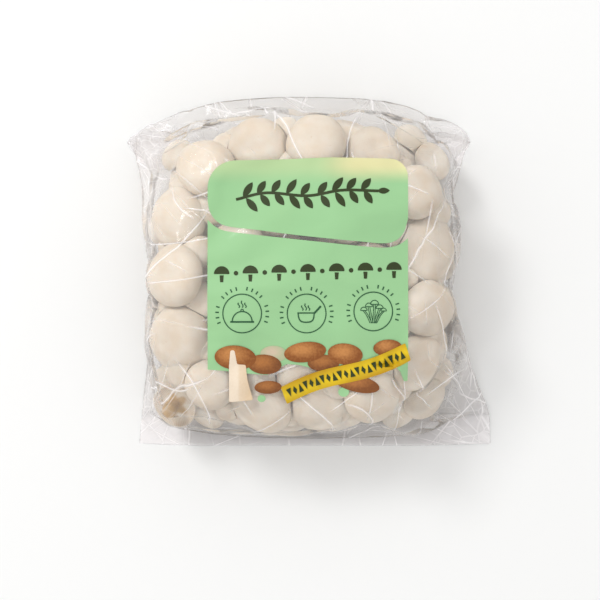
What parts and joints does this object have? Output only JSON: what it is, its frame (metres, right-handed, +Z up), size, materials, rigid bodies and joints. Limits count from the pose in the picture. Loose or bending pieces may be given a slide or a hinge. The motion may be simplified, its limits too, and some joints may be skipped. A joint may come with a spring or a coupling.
{
  "type": "packed beech mushroom cluster",
  "caption": "White beech mushroom cluster, caps up on one trimmed foot, sealed in a clear film pouch with crimped ends and a green printed panel on top.",
  "frame": {"origin": "on the table under the middle of the pack's outline, ears included", "axes": "+Z up out of the caps and the printed panel; +Y towards the end whose seal is folded under; +X to the right as the panel is looked down on, along the crimped end seals"},
  "size_m": [0.1514, 0.1414, 0.0562],
  "materials": {
    "mushroom_flesh": "soft satin skin, cream white with warm shading in the folds",
    "foot_mycelium": "matt, fibrous, tan at the cut",
    "clear_film": "clear, glossy, wrinkled",
    "green_print": "glossy print under film, pale green",
    "yellow_print": "glossy print under film, golden yellow"
  },
  "bodies": {
    "root": {"cluster_foot": "foot_mycelium", "film_pouch": "clear_film", "mushroom_centre": "mushroom_flesh", "mushroom_inner_01": "mushroom_flesh", "mushroom_inner_02": "mushroom_flesh", "mushroom_inner_03": "mushroom_flesh", "mushroom_inner_04": "mushroom_flesh", "mushroom_inner_05": "mushroom_flesh", "mushroom_inner_06": "mushroom_flesh", "mushroom_inner_07": "mushroom_flesh", "mushroom_outer_01": "mushroom_flesh", "mushroom_outer_02": "mushroom_flesh", "mushroom_outer_03": "mushroom_flesh", "mushroom_outer_04": "mushroom_flesh", "mushroom_outer_05": "mushroom_flesh", "mushroom_outer_06": "mushroom_flesh", "mushroom_outer_07": "mushroom_flesh", "mushroom_outer_08": "mushroom_flesh", "mushroom_outer_09": "mushroom_flesh", "mushroom_outer_10": "mushroom_flesh", "mushroom_outer_11": "mushroom_flesh", "mushroom_outer_12": "mushroom_flesh", "mushroom_outer_13": "mushroom_flesh", "mushroom_outer_14": "mushroom_flesh", "mushroom_outer_15": "mushroom_flesh", "mushroom_skirt_01": "mushroom_flesh", "mushroom_skirt_02": "mushroom_flesh", "mushroom_skirt_03": "mushroom_flesh", "mushroom_skirt_04": "mushroom_flesh", "mushroom_skirt_05": "mushroom_flesh", "mushroom_skirt_06": "mushroom_flesh", "mushroom_skirt_07": "mushroom_flesh", "mushroom_skirt_08": "mushroom_flesh", "mushroom_skirt_09": "mushroom_flesh", "mushroom_skirt_10": "mushroom_flesh", "mushroom_skirt_11": "mushroom_flesh", "mushroom_skirt_12": "mushroom_flesh", "mushroom_skirt_13": "mushroom_flesh", "mushroom_skirt_14": "mushroom_flesh", "mushroom_skirt_15": "mushroom_flesh", "mushroom_skirt_16": "mushroom_flesh", "mushroom_skirt_17": "mushroom_flesh", "print_lower_field": "green_print", "print_upper_field": "green_print", "print_yellow_band": "yellow_print"}
  },
  "joints": []
}
